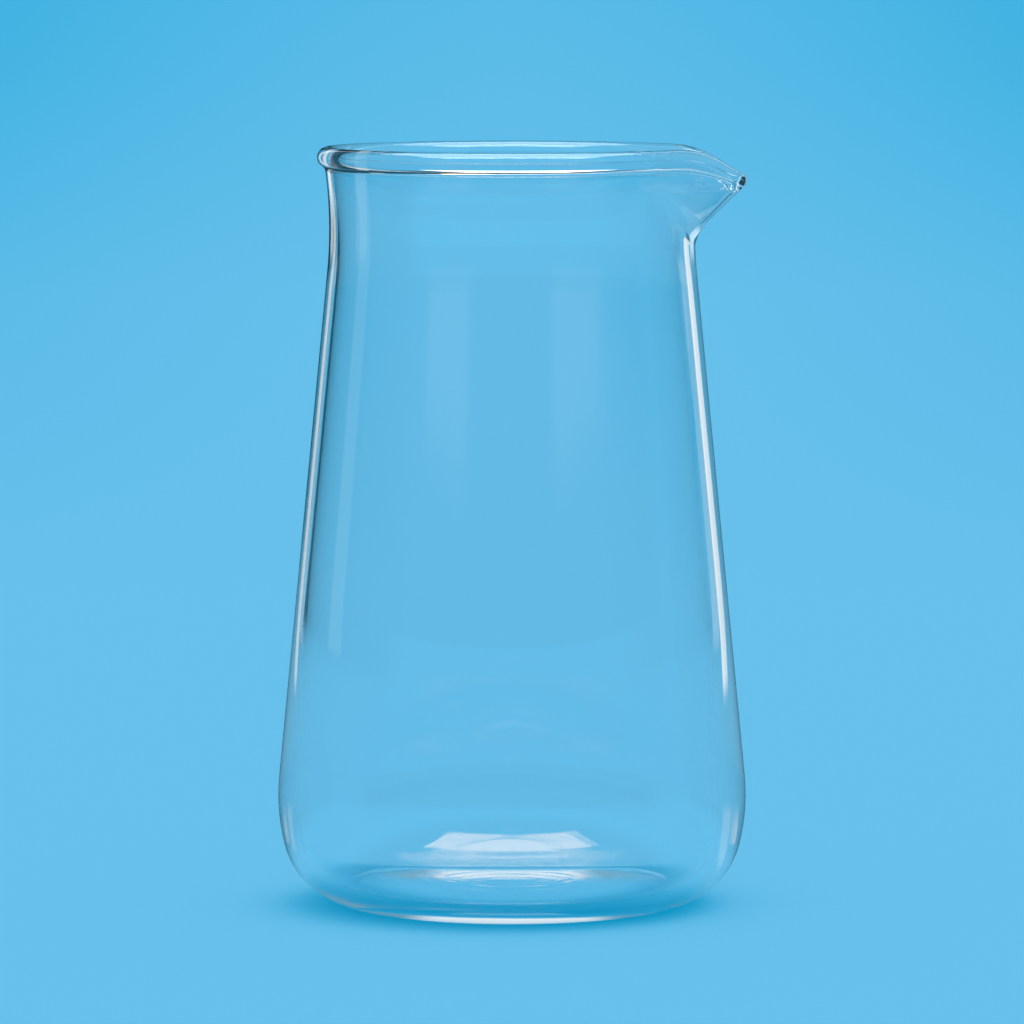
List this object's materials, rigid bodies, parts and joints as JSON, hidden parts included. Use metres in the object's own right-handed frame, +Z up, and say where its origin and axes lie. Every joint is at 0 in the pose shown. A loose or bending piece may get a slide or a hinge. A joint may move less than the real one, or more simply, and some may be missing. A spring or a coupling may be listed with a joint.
{
  "type": "beaker",
  "caption": "Conical glass laboratory beaker with a rounded heel, short flared neck, rolled bead rim and drooping V-shaped pouring spout.",
  "frame": {"origin": "centre of the flat standing ring, in the plane the beaker rests on", "axes": "+Z up along the vessel's axis to the mouth, +X towards the tip of the pouring spout, +Y completes the right-handed set"},
  "size_m": [0.0795, 0.0792, 0.128],
  "materials": {
    "clear_glass": "clear, polished, faintly blue-green at the edges"
  },
  "bodies": {
    "root": {"glass_beaker": "clear_glass"}
  },
  "joints": []
}
